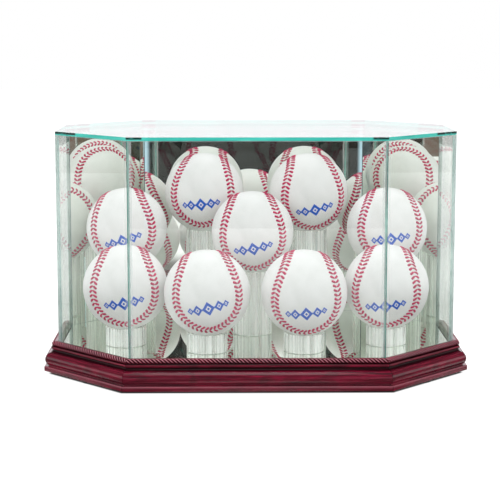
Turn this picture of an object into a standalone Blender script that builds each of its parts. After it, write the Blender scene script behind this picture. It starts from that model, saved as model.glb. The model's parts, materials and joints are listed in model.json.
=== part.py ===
# Octagonal glass display case for nine baseballs, on a carved wood base.
# Metres, +Z up. The origin is on the table under the middle of the case, and the front faces -Y.
import math

import bmesh
import bpy
from mathutils import Matrix, Vector

# Clearance between pieces that rest on or touch each other
GAP = 0.0003

# Balls, and the height of the display tube under each row
BALL_DIAMETER = 0.074
SEAM_RISE = 0.00035
SEAM_HALF_WIDTH = 0.0019
FRONT_TUBE_HEIGHT = 0.016
MIDDLE_TUBE_HEIGHT = 0.0580
BACK_TUBE_HEIGHT = 0.0868
TUBE_DIAMETER = 0.035
TUBE_WALL = 0.003

# Hood, measured over the outer faces of its panes: room for four balls by three
LENGTH_ROOM = 0.051
DEPTH_ROOM = 0.012
HEADROOM = 0.0292
FRONT_WIDTH = 0.214
SIDE_WIDTH = 0.090
PANE_THICKNESS = 0.003
HOOD_LENGTH = 4 * BALL_DIAMETER + LENGTH_ROOM
HOOD_DEPTH = 3 * BALL_DIAMETER + DEPTH_ROOM
HOOD_HEIGHT = BACK_TUBE_HEIGHT + BALL_DIAMETER + HEADROOM

# Base under the hood
PAD_DIAMETER = 0.018
PAD_THICKNESS = 0.002
LEDGE_WIDTH = 0.010
LEDGE_THICKNESS = 0.0071
BOARD_THICKNESS = 0.012
FLOOR_THICKNESS = 0.003

# Members of the moulding from the bottom up, with how far each stands out from the glass
STEP_HEIGHT = 0.0042
STEP_OUT = 0.0124
STEP_ROUND = 0.0005
TORUS_HEIGHT = 0.0120
TORUS_OUT = 0.0115
TORUS_ROOT = 0.0060
COVE_RADIUS = 0.0026
BEAD_HEIGHT = 0.0029
BEAD_OUT = 0.0059
ROPE_DIAMETER = 0.0042
ROPE_OUT = 0.0057
ROPE_PITCH = 0.0033
LIP_ROUND = 0.0008

# Room round the balls, which are set down by hand and so are not quite even left and right
BALL_TO_GLASS = 0.004
BALL_TO_MIRROR_LEFT = 0.004
BALL_TO_MIRROR_RIGHT = 0.0065
BALL_TO_BALL = 0.0006
FRONT_GAP_LEFT = 0.0028
FRONT_GAP_CENTRE = 0.0086
FRONT_GAP_RIGHT = 0.0044
FRONT_SHIFT = -0.00085
MIDDLE_OUT_LEFT = 0.0035
MIDDLE_OUT_RIGHT = 0.0076
MIDDLE_SETBACK = 0.015
MIDDLE_SHIFT = -0.0025
MIDDLE_CENTRE_BACK = 0.005
BACK_GAP = 0.0237
BACK_SHIFT = 0.0021

# Seam curve: its nearest angle to the two poles where it turns back
SEAM_ANGLE = 0.39
SEAM_POINTS = 72
BALL_FILL_POINTS = 150
TUBE_SEGMENTS = 28
PAD_SEGMENTS = 16

# Heights above the table
BASE_BOTTOM = PAD_THICKNESS + GAP
STEP_TOP = BASE_BOTTOM + STEP_HEIGHT
TORUS_TOP = STEP_TOP + TORUS_HEIGHT
COVE_TOP = TORUS_TOP + COVE_RADIUS
BEAD_TOP = COVE_TOP + BEAD_HEIGHT
LIP_TOP = BEAD_TOP + ROPE_DIAMETER
LEDGE_TOP = BASE_BOTTOM + LEDGE_THICKNESS
BOARD_BOTTOM = LEDGE_TOP + GAP
BOARD_TOP = BOARD_BOTTOM + BOARD_THICKNESS
FLOOR_TOP = BOARD_TOP + GAP + FLOOR_THICKNESS
HOOD_BOTTOM = BOARD_TOP + GAP
HOOD_TOP = HOOD_BOTTOM + HOOD_HEIGHT
TUBE_BOTTOM = FLOOR_TOP + GAP

BALL_RADIUS = BALL_DIAMETER / 2
BALL_REACH = BALL_RADIUS + SEAM_RISE
TUBE_BORE_RADIUS = TUBE_DIAMETER / 2 - TUBE_WALL
SEAT_RISE = math.sqrt(BALL_REACH ** 2 - TUBE_BORE_RADIUS ** 2)

FACES = ("front", "front_right", "right", "back_right", "back", "back_left", "left", "front_left")
MIRRORED = ("back_right", "back", "back_left")

# How each ball is turned from facing straight ahead, in degrees: front tipped down, tipped sideways, turned
BALL_TURNS = {
    "front_left": (-17, -0.5, 1.5),
    "front_inner_left": (-18.5, -3.5, 2),
    "front_inner_right": (-10.5, 3.5, 2),
    "front_right": (-12, 2, -6),
    "middle_left": (-19, -8, -3.5),
    "middle_centre": (-13.5, -2, 0),
    "middle_right": (-21, 2.5, 1),
    "back_left": (-18, 4, -3),
    "back_right": (-10, -3, 6.5),
}


def clear_scene():
    for obj in list(bpy.data.objects):
        bpy.data.objects.remove(obj, do_unlink=True)


def new_collection(name):
    collection = bpy.data.collections.new(name)
    bpy.context.scene.collection.children.link(collection)
    return collection


def new_material(name, colour, roughness, metallic=0.0, transmission=0.0):
    material = bpy.data.materials.new(name)
    material.use_nodes = True
    shader = material.node_tree.nodes["Principled BSDF"]
    shader.inputs["Base Color"].default_value = (*colour, 1.0)
    shader.inputs["Roughness"].default_value = roughness
    shader.inputs["Metallic"].default_value = metallic
    shader.inputs["Transmission Weight"].default_value = transmission
    material.diffuse_color = (*colour, 1.0)
    return material


def place(obj, collection, material, parent=None):
    collection.objects.link(obj)
    obj.data.materials.append(material)
    obj.parent = parent
    return obj


def new_empty(name, collection, location=(0, 0, 0)):
    empty = bpy.data.objects.new(name, None)
    empty.location = location
    collection.objects.link(empty)
    return empty


def hood_corners():
    """Plan corners of the hood's outer faces; face k runs from corner k to the next, left to right."""
    length, depth = HOOD_LENGTH / 2, HOOD_DEPTH / 2
    front, side = FRONT_WIDTH / 2, SIDE_WIDTH / 2
    right = [Vector((front, -depth)), Vector((length, -side)), Vector((length, side)), Vector((front, depth))]
    left = [Vector((-p.x, -p.y)) for p in right]
    return [left[3], *right, *left[:3]]


def face_axes(k):
    """Direction along face k and its outward normal, in plan."""
    corners = hood_corners()
    along = (corners[(k + 1) % 8] - corners[k]).normalized()
    return along, Vector((along.y, -along.x))


def corner(k, out):
    """Corner k of the outline that stands this far out from the hood's faces."""
    _, before = face_axes((k - 1) % 8)
    _, after = face_axes(k % 8)
    return hood_corners()[k % 8] + (before + after) * (out / (1 + before.dot(after)))


def outline(out):
    return [corner(k, out) for k in range(8)]


def mitre(k):
    """Unit vector along the joint line at corner k, in plan, and the one square to it."""
    line = (corner(k, PANE_THICKNESS) - corner(k, 0)).normalized()
    return line, Vector((-line.y, line.x))


def strip(k, inner, outer):
    """Plan outline of a mitred strip along face k, half a gap short at each mitre."""
    along, _ = face_axes(k)
    points = []
    for end, outs in ((k, (inner, outer)), (k + 1, (outer, inner))):
        _, square = mitre(end)
        trim = GAP / 2 / abs(along.dot(square))
        shift = along * (trim if end == k else -trim)
        points += [corner(end, out) + shift for out in outs]
    return points


def prism(name, points, bottom, height):
    """Upright solid on a plan outline."""
    curve = bpy.data.curves.new(name, "CURVE")
    curve.dimensions = "2D"
    curve.fill_mode = "BOTH"
    curve.extrude = height / 2
    spline = curve.splines.new("POLY")
    spline.points.add(len(points) - 1)
    for point, place_at in zip(spline.points, points):
        point.co = (place_at.x, place_at.y, 0, 1)
    spline.use_cyclic_u = True
    obj = bpy.data.objects.new(name, curve)
    obj.location.z = bottom + height / 2
    return obj


def arc(centre, radii, start, end, steps):
    """Points on an ellipse arc; angles in degrees, 0 outward and 90 up."""
    points = []
    for i in range(steps + 1):
        angle = math.radians(start + (end - start) * i / steps)
        points.append((centre[0] + radii[0] * math.cos(angle), centre[1] + radii[1] * math.sin(angle)))
    return points


def moulding_profile():
    """Section of the moulding as (out from the glass, height above the table), from the lip down."""
    seat = ROPE_OUT - ROPE_DIAMETER / 2
    bead = BEAD_HEIGHT / 2
    bead_root = BEAD_OUT - bead
    torus = TORUS_HEIGHT / 2
    points = [(GAP, LIP_TOP), (seat - LIP_ROUND, LIP_TOP), (seat, LIP_TOP - LIP_ROUND), (seat, BEAD_TOP)]
    points += arc((bead_root, BEAD_TOP - bead), (bead, bead), 90, -90, 5)
    points += arc((bead_root + COVE_RADIUS, COVE_TOP), (COVE_RADIUS, COVE_RADIUS), 180, 258, 4)[1:]
    points += arc((TORUS_ROOT, STEP_TOP + torus), (TORUS_OUT - TORUS_ROOT, torus), 66, -62, 9)
    points += [(points[-1][0], STEP_TOP), (STEP_OUT - STEP_ROUND, STEP_TOP), (STEP_OUT, STEP_TOP - STEP_ROUND)]
    points += [(STEP_OUT, BASE_BOTTOM), (-LEDGE_WIDTH, BASE_BOTTOM), (-LEDGE_WIDTH, LEDGE_TOP), (GAP, LEDGE_TOP)]
    return points


def rope_bar(length):
    """Square bar twisted a quarter turn a pitch, the rope of the moulding, as a mesh along local X."""
    radius = ROPE_DIAMETER / 2
    centre = Vector((0, -(ROPE_OUT - radius), LIP_TOP - radius))
    count = 2 * math.ceil(length / ROPE_PITCH)
    bm = bmesh.new()
    rings = []
    for i in range(count + 1):
        x = ROPE_PITCH * (i - count / 2) / 2
        turn = math.radians(45) * i
        ring = []
        for side in range(4):
            angle = turn + math.radians(90) * side
            offset = Vector((x, radius * math.cos(angle), radius * math.sin(angle)))
            ring.append(bm.verts.new(centre + offset))
        rings.append(ring)
    for first, second in zip(rings, rings[1:]):
        for side in range(4):
            corners = (first[side], first[(side + 1) % 4], second[(side + 1) % 4], second[side])
            bm.faces.new(corners)
    bm.faces.new(rings[0][::-1])
    bm.faces.new(rings[-1])
    bmesh.ops.triangulate(bm, faces=bm.faces[:])
    bmesh.ops.recalc_face_normals(bm, faces=bm.faces[:])
    mesh = bpy.data.meshes.new("rope_bar")
    bm.to_mesh(mesh)
    bm.free()
    return mesh


def moulding_bar(length):
    """The section pulled along local X, before its rope and its mitres."""
    bm = bmesh.new()
    verts = [bm.verts.new((-length / 2, -out, up)) for out, up in moulding_profile()]
    start = bm.faces.new(verts)
    pulled = bmesh.ops.extrude_face_region(bm, geom=[start], use_keep_orig=True)
    moved = [item for item in pulled["geom"] if isinstance(item, bmesh.types.BMVert)]
    bmesh.ops.translate(bm, verts=moved, vec=(length, 0, 0))
    bmesh.ops.recalc_face_normals(bm, faces=bm.faces[:])
    mesh = bpy.data.meshes.new("moulding_bar")
    bm.to_mesh(mesh)
    bm.free()
    return mesh


def union(mesh, other):
    """Evaluated union of two meshes, as a new mesh."""
    body = bpy.data.objects.new("union_body", mesh)
    tool = bpy.data.objects.new("union_tool", other)
    for obj in (body, tool):
        bpy.context.scene.collection.objects.link(obj)
    join = body.modifiers.new("rope", "BOOLEAN")
    join.operation = "UNION"
    join.object = tool
    graph = bpy.context.evaluated_depsgraph_get()
    result = bpy.data.meshes.new_from_object(body.evaluated_get(graph))
    for obj in (body, tool):
        bpy.data.objects.remove(obj, do_unlink=True)
    return result


def cut_mitres(mesh, k):
    """Cuts both ends of a moulding bar on the planes of its corners, half a gap short."""
    along, normal = face_axes(k)
    middle = (corner(k, 0) + corner(k + 1, 0)) / 2
    bm = bmesh.new()
    bm.from_mesh(mesh)
    for end in (k, k + 1):
        _, square = mitre(end)
        away = 1 if end == k + 1 else -1
        if square.dot(along) * away < 0:
            square = -square
        cut = Vector((square.dot(along), -square.dot(normal), 0))
        to_corner = corner(end, 0) - middle
        spot = Vector((to_corner.dot(along), 0, 0)) - cut * (GAP / 2)
        geom = bm.verts[:] + bm.edges[:] + bm.faces[:]
        found = bmesh.ops.bisect_plane(bm, geom=geom, plane_co=spot, plane_no=cut, clear_outer=True)
        edges = [item for item in found["geom_cut"] if isinstance(item, bmesh.types.BMEdge)]
        bmesh.ops.edgeloop_fill(bm, edges=edges)
    bmesh.ops.recalc_face_normals(bm, faces=bm.faces[:])
    bm.to_mesh(mesh)
    bm.free()


def add_moulding(k, collection, material):
    """One mitred length of moulding, with its origin at the middle of its face's foot line."""
    along, _ = face_axes(k)
    left, right = corner(k, STEP_OUT), corner(k + 1, STEP_OUT)
    length = (right - left).length + 2 * STEP_OUT
    mesh = union(moulding_bar(length), rope_bar(length))
    cut_mitres(mesh, k)
    mesh.shade_smooth()
    mesh.set_sharp_from_angle(angle=math.radians(32))
    obj = bpy.data.objects.new("moulding_" + FACES[k], mesh)
    middle = (corner(k, 0) + corner(k + 1, 0)) / 2
    obj.location = (middle.x, middle.y, 0)
    obj.rotation_euler.z = math.atan2(along.y, along.x)
    return place(obj, collection, material)


def add_base(collection, wood, board_wood, mirror, felt):
    for k in range(8):
        add_moulding(k, collection, wood)
    board = prism("base_board", outline(0), BOARD_BOTTOM, BOARD_THICKNESS)
    place(board, collection, board_wood)
    floor = prism("floor_mirror", outline(-PANE_THICKNESS - GAP), BOARD_TOP + GAP, FLOOR_THICKNESS)
    place(floor, collection, mirror)
    for k in (1, 3, 5, 7):
        reach = (STEP_OUT - LEDGE_WIDTH) / 2
        spot = (corner(k, reach) + corner(k + 1, reach)) / 2
        location = (spot.x, spot.y, PAD_THICKNESS / 2)
        bpy.ops.mesh.primitive_cylinder_add(
            vertices=PAD_SEGMENTS, radius=PAD_DIAMETER / 2, depth=PAD_THICKNESS, location=location
        )
        pad = bpy.context.active_object
        pad.name = "felt_pad_" + FACES[k]
        for holder in list(pad.users_collection):
            holder.objects.unlink(pad)
        place(pad, collection, felt)


def add_hood(collection, glass, mirror):
    """Eight upright panes with mitred edges and the top pane glued on them, all on one lifting empty."""
    lift = new_empty("hood_lift", collection, (0, 0, HOOD_BOTTOM))
    height = HOOD_HEIGHT - PANE_THICKNESS - GAP
    for k, face in enumerate(FACES):
        mirrored = face in MIRRORED
        name = ("mirror_" if mirrored else "glass_") + face
        pane = prism(name, strip(k, -PANE_THICKNESS, 0), 0, height)
        place(pane, collection, mirror if mirrored else glass, lift)
    top = prism("glass_top", outline(0), HOOD_HEIGHT - PANE_THICKNESS, PANE_THICKNESS)
    place(top, collection, glass, lift)


def add_tube(name, spot, height, collection, material):
    """Clear display tube: its wall section turned about its own axis."""
    outer, inner = TUBE_DIAMETER / 2, TUBE_BORE_RADIUS
    section = [(outer, 0, height), (outer, 0, 0), (inner, 0, 0), (inner, 0, height)]
    mesh = bpy.data.meshes.new(name)
    mesh.from_pydata(section, [(0, 1), (1, 2), (2, 3), (3, 0)], [])
    tube = bpy.data.objects.new(name, mesh)
    tube.location = (*spot, TUBE_BOTTOM)
    turn = tube.modifiers.new("turn", "SCREW")
    turn.steps = TUBE_SEGMENTS
    turn.render_steps = TUBE_SEGMENTS
    turn.use_merge_vertices = True
    turn.merge_threshold = 0.00001
    return place(tube, collection, material)


def seam_direction(t):
    """Unit vector to the seam at t, which runs over two turns; the open horseshoe faces -Y."""
    polar = math.pi / 2 - (math.pi / 2 - SEAM_ANGLE) * math.cos(t)
    around = t / 2 + SEAM_ANGLE * math.sin(2 * t)
    across = math.sin(polar)
    return Vector((across * math.cos(around), across * math.sin(around), math.cos(polar)))


def ball_points():
    """Points of the ball: its raised seam, the foot of the seam on both sides, and an even spread."""
    seam = [seam_direction(4 * math.pi * i / SEAM_POINTS) for i in range(SEAM_POINTS)]
    points = [direction * (BALL_RADIUS + SEAM_RISE) for direction in seam]
    for i in range(0, SEAM_POINTS, 2):
        ahead = seam[(i + 1) % SEAM_POINTS] - seam[i - 1]
        side = seam[i].cross(ahead).normalized() * (SEAM_HALF_WIDTH / BALL_RADIUS)
        points += [(seam[i] + side).normalized() * BALL_RADIUS, (seam[i] - side).normalized() * BALL_RADIUS]
    golden = math.pi * (3 - math.sqrt(5))
    clear = 3 * SEAM_HALF_WIDTH / BALL_RADIUS
    for i in range(BALL_FILL_POINTS):
        z = 1 - (2 * i + 1) / BALL_FILL_POINTS
        across = math.sqrt(1 - z * z)
        direction = Vector((across * math.cos(golden * i), across * math.sin(golden * i), z))
        if min((direction - near).length for near in seam) > clear:
            points.append(direction * BALL_RADIUS)
    return points


def ball_mesh():
    bm = bmesh.new()
    for point in ball_points():
        bm.verts.new(point)
    hull = bmesh.ops.convex_hull(bm, input=bm.verts[:], use_existing_faces=False)
    loose = {item for item in hull["geom_interior"] + hull["geom_unused"] if isinstance(item, bmesh.types.BMVert)}
    bmesh.ops.delete(bm, geom=list(loose), context="VERTS")
    bmesh.ops.recalc_face_normals(bm, faces=bm.faces[:])
    mesh = bpy.data.meshes.new("ball")
    bm.to_mesh(mesh)
    bm.free()
    mesh.shade_smooth()
    return mesh


def wedged(k, spot, gap, way):
    """Plan place of a ball that stands BALL_TO_GLASS inside face k and this gap from the ball at spot."""
    along, normal = face_axes(k)
    foot = corner(k, -(PANE_THICKNESS + BALL_REACH + BALL_TO_GLASS))
    across = (spot - foot).dot(normal)
    reach = 2 * BALL_REACH + gap
    return foot + along * ((spot - foot).dot(along) + way * math.sqrt(reach ** 2 - across ** 2))


def behind(front, out, way):
    """Plan place of a middle ball: outward of the front ball below it, and set back from just clearing it."""
    rise = MIDDLE_TUBE_HEIGHT - FRONT_TUBE_HEIGHT
    over_ball = math.sqrt(max((2 * BALL_REACH + BALL_TO_BALL) ** 2 - rise ** 2, 0))
    past_tube = BALL_REACH + TUBE_DIAMETER / 2 + BALL_TO_BALL
    reach = max(over_ball, past_tube)
    side_room = HOOD_LENGTH / 2 - PANE_THICKNESS - BALL_REACH - BALL_TO_GLASS
    x = way * min(abs(front.x) + out, side_room)
    return Vector((x, front.y + math.sqrt(reach ** 2 - (x - front.x) ** 2) + MIDDLE_SETBACK))


def ball_spots():
    """Name, plan place and tube height of each ball."""
    room = HOOD_DEPTH / 2 - PANE_THICKNESS - BALL_REACH
    front_half = BALL_REACH + FRONT_GAP_CENTRE / 2
    back_half = BALL_REACH + BACK_GAP / 2
    inner_left = Vector((FRONT_SHIFT - front_half, BALL_TO_GLASS - room))
    inner_right = Vector((FRONT_SHIFT + front_half, BALL_TO_GLASS - room))
    left = wedged(7, inner_left, FRONT_GAP_LEFT, -1)
    right = wedged(1, inner_right, FRONT_GAP_RIGHT, 1)
    return [
        ("front_left", left, FRONT_TUBE_HEIGHT),
        ("front_inner_left", inner_left, FRONT_TUBE_HEIGHT),
        ("front_inner_right", inner_right, FRONT_TUBE_HEIGHT),
        ("front_right", right, FRONT_TUBE_HEIGHT),
        ("middle_left", behind(left, MIDDLE_OUT_LEFT, -1), MIDDLE_TUBE_HEIGHT),
        ("middle_centre", Vector((MIDDLE_SHIFT, MIDDLE_CENTRE_BACK)), MIDDLE_TUBE_HEIGHT),
        ("middle_right", behind(right, MIDDLE_OUT_RIGHT, 1), MIDDLE_TUBE_HEIGHT),
        ("back_left", Vector((BACK_SHIFT - back_half, room - BALL_TO_MIRROR_LEFT)), BACK_TUBE_HEIGHT),
        ("back_right", Vector((BACK_SHIFT + back_half, room - BALL_TO_MIRROR_RIGHT)), BACK_TUBE_HEIGHT),
    ]


def add_balls(collection, acrylic, leather):
    shape = ball_mesh()
    shape.materials.append(leather)
    for name, spot, height in ball_spots():
        add_tube("riser_" + name, spot, height, collection, acrylic)
        ball = bpy.data.objects.new("baseball_" + name, shape)
        ball.location = (*spot, TUBE_BOTTOM + height + SEAT_RISE)
        forward, sideways, turn = (math.radians(angle) for angle in BALL_TURNS[name])
        tip = Matrix.Rotation(sideways, 3, "Y") @ Matrix.Rotation(forward, 3, "X")
        ball.rotation_euler = (Matrix.Rotation(turn, 3, "Z") @ tip).to_euler()
        collection.objects.link(ball)


def main():
    clear_scene()
    case = new_collection("baseball_display_case")
    wood = new_material("cherry_wood", (0.12, 0.012, 0.022), 0.25)
    board_wood = new_material("board", (0.10, 0.05, 0.03), 0.7)
    glass = new_material("clear_glass", (0.88, 0.98, 0.95), 0.02, transmission=1.0)
    mirror = new_material("mirror_glass", (0.84, 0.89, 0.85), 0.01, metallic=1.0)
    acrylic = new_material("clear_acrylic", (0.97, 0.98, 0.98), 0.03, transmission=1.0)
    leather = new_material("ball_leather", (0.82, 0.82, 0.82), 0.4)
    felt = new_material("felt", (0.03, 0.03, 0.03), 0.95)
    add_base(case, wood, board_wood, mirror, felt)
    add_hood(case, glass, mirror)
    add_balls(case, acrylic, leather)


main()
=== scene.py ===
# Octagonal glass display case with nine baseballs, on a carved cherry base.
# Metres, +Z up. The front faces -Y.
import json
import math

import bmesh
import bpy
from mathutils import Matrix, Vector


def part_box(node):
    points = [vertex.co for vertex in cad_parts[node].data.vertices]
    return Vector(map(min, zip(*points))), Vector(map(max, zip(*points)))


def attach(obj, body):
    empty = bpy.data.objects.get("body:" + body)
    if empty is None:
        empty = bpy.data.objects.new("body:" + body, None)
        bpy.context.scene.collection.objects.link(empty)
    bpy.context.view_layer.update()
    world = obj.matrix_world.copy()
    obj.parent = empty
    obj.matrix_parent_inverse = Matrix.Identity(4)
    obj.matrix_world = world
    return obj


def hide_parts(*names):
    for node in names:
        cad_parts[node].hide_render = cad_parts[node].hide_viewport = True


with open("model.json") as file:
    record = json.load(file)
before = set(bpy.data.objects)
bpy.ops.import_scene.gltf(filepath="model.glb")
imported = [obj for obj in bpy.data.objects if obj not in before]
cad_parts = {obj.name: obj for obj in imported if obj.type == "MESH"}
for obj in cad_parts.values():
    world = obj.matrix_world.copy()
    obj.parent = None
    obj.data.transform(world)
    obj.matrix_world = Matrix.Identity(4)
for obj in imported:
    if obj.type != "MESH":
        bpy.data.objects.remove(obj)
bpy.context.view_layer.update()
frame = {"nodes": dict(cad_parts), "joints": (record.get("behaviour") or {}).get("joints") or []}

MM = 0.001

# Camera, as fitted to the corners of the case and the places of the balls
CAMERA_SPOT = (-0.02123, -1.36434, 0.3018)
CAMERA_TURN = (81.686, 0.0, -0.692)
CAMERA_LENS = 110.06

# Case
GAP = 0.0003
PANE = 0.003
FRONT_HALF = 0.107
SIDE_HALF = 0.045
ARRIS = 0.00025
ARRIS_SHARP = math.radians(15)
END_STRIP = 0.0022

# Moulding, as in the part
STEP_HEIGHT = 0.0042
STEP_OUT = 0.0124
STEP_ROUND = 0.0005
TORUS_HEIGHT = 0.0120
TORUS_OUT = 0.0115
TORUS_ROOT = 0.0060
COVE_RADIUS = 0.0026
BEAD_HEIGHT = 0.0029
BEAD_OUT = 0.0059
ROPE_DIAMETER = 0.0042
ROPE_OUT = 0.0057
ROPE_PITCH = 0.0033
ROPE_STRANDS = 4
LIP_ROUND = 0.0008
# How far the painted shade in the recesses reaches from its corners
PAINTED_SHADE_REACH = 0.0017
MOULDING_SHARP = math.radians(36)
LEDGE_WIDTH = 0.010
LEDGE_THICKNESS = 0.0071
BASE_BOTTOM = 0.0023
STEP_TOP = BASE_BOTTOM + STEP_HEIGHT
TORUS_TOP = STEP_TOP + TORUS_HEIGHT
COVE_TOP = TORUS_TOP + COVE_RADIUS
BEAD_TOP = COVE_TOP + BEAD_HEIGHT
LIP_TOP = BEAD_TOP + ROPE_DIAMETER
LEDGE_TOP = BASE_BOTTOM + LEDGE_THICKNESS

# Corners of the section where the painted shade is darkest, as (out from the glass, height)
PAINTED_SHADE_CORNERS = (
    (ROPE_OUT - ROPE_DIAMETER / 2 + 0.0008, BEAD_TOP - 0.0004),
    (BEAD_OUT - BEAD_HEIGHT / 2 + 0.0002, COVE_TOP - 0.0008),
    (BEAD_OUT - BEAD_HEIGHT / 2 + 0.0012, TORUS_TOP + 0.0010),
)

# Heights between which the torus's foot gets a painted reflection, how far in the step's edge gets a
# painted highlight, and how pale each gets
FOOT_REFLECTION_HEIGHTS = (STEP_TOP + 0.0002, STEP_TOP + 0.0022)
EDGE_HIGHLIGHT_REACH = STEP_ROUND + 0.0002
FOOT_REFLECTION_PALE = 0.40
EDGE_HIGHLIGHT_PALE = 0.52

# Balls
BALL_RADIUS = 0.037
SEAM_ANGLE = 0.39
STITCHES = 108

# Tubes and pads
TUBE_WALL = 0.003
TUBE_SIDES = 112
RIM_ROUND = 0.0005
PAD_SIDES = 48
PAD_CENTRE = 0.0001
TURNED_SHARP = math.radians(50)

# Half of the seam's welt, from its outer edge to the joint, as (aside, raised) in mm
WELT_HALF = ((2.9, -0.10), (2.3, 0.02), (1.7, 0.16), (1.15, 0.27), (0.70, 0.29), (0.38, 0.24), (0.16, 0.10))
WELT_PINCH = 0.16

# A leg of a stitch, from the joint outwards, as (share of its length, aside, raised, half width) in mm
STITCH_LEG = (
    (0.0, 0.12, 0.0, 0.45),
    (0.15, 0.80, 0.36, 0.76),
    (0.42, 2.05, 0.44, 1.04),
    (0.70, 3.25, 0.32, 1.04),
    (0.91, 4.20, 0.17, 1.04),
    (1.0, 4.65, -0.16, 0.45),
)

# How far a leg slants along the seam, and which way its thread runs on, as (along, aside), in mm
STITCH_SLANT = 2.2
STITCH_ONWARD = (0.19, 0.36)

# Height of a thread's section for its width
THREAD_FLATNESS = 0.42

# Printed band in mm: each lozenge's distance from the middle, half width and half height; the line that joins
# them, as half height and half length where it fades and where it is full; and the angles it is set at
LOZENGES = ((0, 5.5, 6.4), (9.3, 4.2, 5.0), (15.2, 2.6, 3.2))
BAND_HALF_HEIGHT = (0.92 * MM, 0.78 * MM)
BAND_HALF_LENGTH = (17.2 * MM, 16.8 * MM)
BAND_DROP = math.radians(30.3)
BAND_TILT = math.radians(10)

# How each ball is turned from facing straight ahead, in degrees (tipped forward, where minus is back; tipped
# sideways; turned about the vertical), and which way its stitches point
BALL_TURNS = {
    "front_left": (-17, -0.5, 1.5, 1),
    "front_inner_left": (-18.5, -3.5, 2, 1),
    "front_inner_right": (-10.5, 3.5, 2, 1),
    "front_right": (-12, 2, -6, -1),
    "middle_left": (-19, -8, -3.5, 1),
    "middle_centre": (-13.5, -2, 0, 1),
    "middle_right": (-21, 2.5, 1, 1),
    "back_left": (-18, 4, -3, -1),
    "back_right": (-10, -3, 6.5, 1),
}

FACES = ("front", "front_right", "right", "back_right", "back", "back_left", "left", "front_left")
MIRRORED = ("back_right", "back", "back_left")

# Dashes of painted dark reflection on the top pane's cut edge, each limit from clear to full: along the
# front, round the sides, and how far under the top face
FRONT_DASH = ((0.0940, 0.0955), (0.1080, 0.1074))
SIDE_DASH = ((0.1530, 0.1545), (0.0350, 0.0365))
DASH_DEPTH = (0.0021, 0.0017)

TABLE_FRONT, TABLE_BACK, TABLE_SIDE = -1.15, 6, 2.0

# Where the shadow under the foot ends on the table, from full shadow to none, as metres out from the glass;
# at the slanted faces it ends this much further out
OPEN_TABLE = (STEP_OUT - 0.0068, STEP_OUT - 0.0032)
SLANT_FURTHER = 0.0022

# Dim ring on the table round the foot, as gloss shows it: the foot's half length and half depth, and the
# ring's inner and outer limits in these, each from none to full
FOOT_HALF = (0.19, 0.13)
DIM_RING = ((1.06, 1.18), (3.6, 2.6))

# The studio's dark opening for the camera, as sideways over forward, each edge from outside to inside
OPENING_LEFT = (-0.0560, -0.0530)
OPENING_RIGHT = (0.0850, 0.0820)

# Where the pale strips beside it end and the brown of the room begins, low down
STRIP_LEFT = (-0.0572, -0.0582)
STRIP_RIGHT = (0.0900, 0.0930)

# A dark doorway in that brown, further left
DOORWAY_NEAR = (-0.0860, -0.0890)
DOORWAY_FAR = (-0.3000, -0.2500)

# How far up a direction points where the brown and the doorway begin, and where they are full
LOW_DOWN = (0.015, -0.030)

# Softboxes: name, place, size and watts; both face the middle of the case
SOFTBOXES = (
    ("key_softbox", (0, -0.42, 1.25), (0.36, 1.1), 2.5),
    ("rear_softbox", (0, 0.72, 1.25), (0.42, 1.1), 2.7),
)
LAMP_TARGET = (0, 0, 0.1)

hood_low, hood_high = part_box("glass_top")
HALF_LENGTH, HALF_DEPTH = hood_high.x, hood_high.y


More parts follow.
